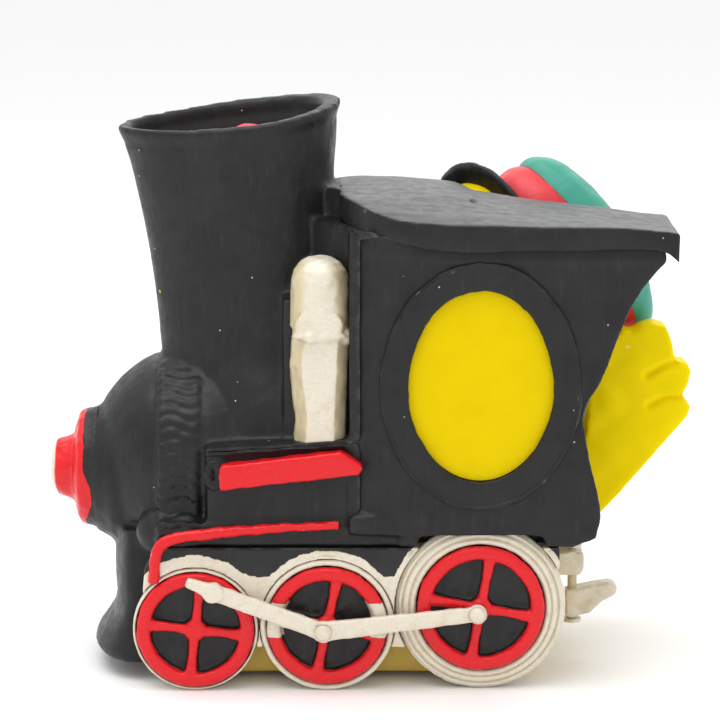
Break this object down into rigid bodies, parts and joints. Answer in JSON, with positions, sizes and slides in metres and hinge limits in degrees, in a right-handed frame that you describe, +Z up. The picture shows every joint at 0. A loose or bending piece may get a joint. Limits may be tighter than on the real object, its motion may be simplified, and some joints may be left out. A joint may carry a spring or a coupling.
{
  "type": "toy train locomotive",
  "caption": "Toy steam locomotive with a tall oval chimney, an oval cab window, spoked wheels joined by bent side rods, a swinging drawhook and a capped bird as driver.",
  "frame": {"origin": "centre of the footprint of the bounding box, on the ground that the wheels stand on", "axes": "+X to the rear of the locomotive, +Y to its far side (the side away from the near window), +Z up"},
  "size_m": [0.1351, 0.064, 0.1186],
  "materials": {
    "black_paint": "satin charcoal-black paint over moulded rubber, fine brush marks",
    "red_paint": "glossy hand-painted red",
    "wheel_paint": "glossy red rim and spokes over black recesses",
    "silver_paint": "pearl silver-white paint with fine metallic glitter",
    "yellow_rubber": "satin yellow rubber",
    "orange_paint": "satin orange paint",
    "green_paint": "satin teal-green paint",
    "steel": "bright drawn wire"
  },
  "bodies": {
    "locomotive": {"boiler": "black_paint", "cab": "black_paint", "cab_roof": "black_paint", "cap_band": "red_paint", "cap_crown": "green_paint", "cap_peak": "black_paint", "chimney": "black_paint", "chimney_ember": "red_paint", "draw_bracket": "silver_paint", "driver_beak": "orange_paint", "driver_body": "yellow_rubber", "driver_eye_far": "black_paint", "driver_eye_near": "black_paint", "driver_head": "yellow_rubber", "driver_tail": "yellow_rubber", "driver_wing": "yellow_rubber", "footplate": "black_paint", "handrail_far": "red_paint", "handrail_near": "red_paint", "hook_pin": "silver_paint", "lamp_body": "red_paint", "lamp_bracket": "black_paint", "lamp_lens": "silver_paint", "pilot": "black_paint", "side_frame_far": "silver_paint", "side_frame_near": "silver_paint", "side_tank_far": "black_paint", "side_tank_near": "black_paint", "smokebox_band": "black_paint", "smokebox_front": "black_paint", "tank_rail_far": "red_paint", "tank_rail_near": "red_paint", "underframe": "yellow_rubber", "whistle_far": "silver_paint", "whistle_near": "silver_paint", "window_frame_near": "black_paint", "window_panel_near": "yellow_rubber"},
    "wheelset_front": {"axle_front": "steel", "wheel_front_near": "wheel_paint", "wheel_front_far": "wheel_paint", "tyre_front_near": "silver_paint", "tyre_front_far": "silver_paint"},
    "wheelset_middle": {"axle_middle": "steel", "wheel_middle_near": "wheel_paint", "wheel_middle_far": "wheel_paint", "tyre_middle_near": "silver_paint", "tyre_middle_far": "silver_paint", "crank_pin_middle_near": "silver_paint", "crank_pin_middle_far": "silver_paint"},
    "wheelset_rear": {"axle_rear": "steel", "wheel_rear_near": "wheel_paint", "wheel_rear_far": "wheel_paint", "tyre_rear_near": "silver_paint", "tyre_rear_far": "silver_paint", "crank_pin_rear_near": "silver_paint", "crank_pin_rear_far": "silver_paint"},
    "side_rod_near_body": {"side_rod_near": "silver_paint"},
    "side_rod_far_body": {"side_rod_far": "silver_paint"},
    "drawhook_body": {"drawhook": "silver_paint"}
  },
  "joints": [
    {"name": "front_axle_spin", "type": "hinge", "parent": "locomotive", "child": "wheelset_front", "pos_m": [-0.0359, 0, 0.0128], "axis": [0, 1, 0], "continuous": true},
    {"name": "middle_axle_spin", "type": "hinge", "parent": "locomotive", "child": "wheelset_middle", "pos_m": [-0.009, 0, 0.0137], "axis": [0, 1, 0], "continuous": true},
    {"name": "rear_axle_spin", "type": "hinge", "parent": "locomotive", "child": "wheelset_rear", "pos_m": [0.0223, 0, 0.0174], "axis": [0, 1, 0], "continuous": true},
    {"name": "side_rod_near_turn", "type": "hinge", "parent": "wheelset_middle", "child": "side_rod_near_body", "pos_m": [-0.0098, -0.03, 0.0132], "axis": [0, 1, 0], "continuous": true},
    {"name": "side_rod_far_turn", "type": "hinge", "parent": "wheelset_middle", "child": "side_rod_far_body", "pos_m": [-0.0098, 0.03, 0.0132], "axis": [0, 1, 0], "continuous": true},
    {"name": "hook_swing", "type": "hinge", "parent": "locomotive", "child": "drawhook_body", "pos_m": [0.0429, 0, 0.011], "axis": [0, 0, 1], "range_deg": [-25, 25]}
  ],
  "couplings": [
    {"joint": "rear_axle_spin", "follows": "middle_axle_spin", "ratio": 1},
    {"joint": "side_rod_near_turn", "follows": "middle_axle_spin", "ratio": -1},
    {"joint": "side_rod_far_turn", "follows": "middle_axle_spin", "ratio": -1}
  ]
}
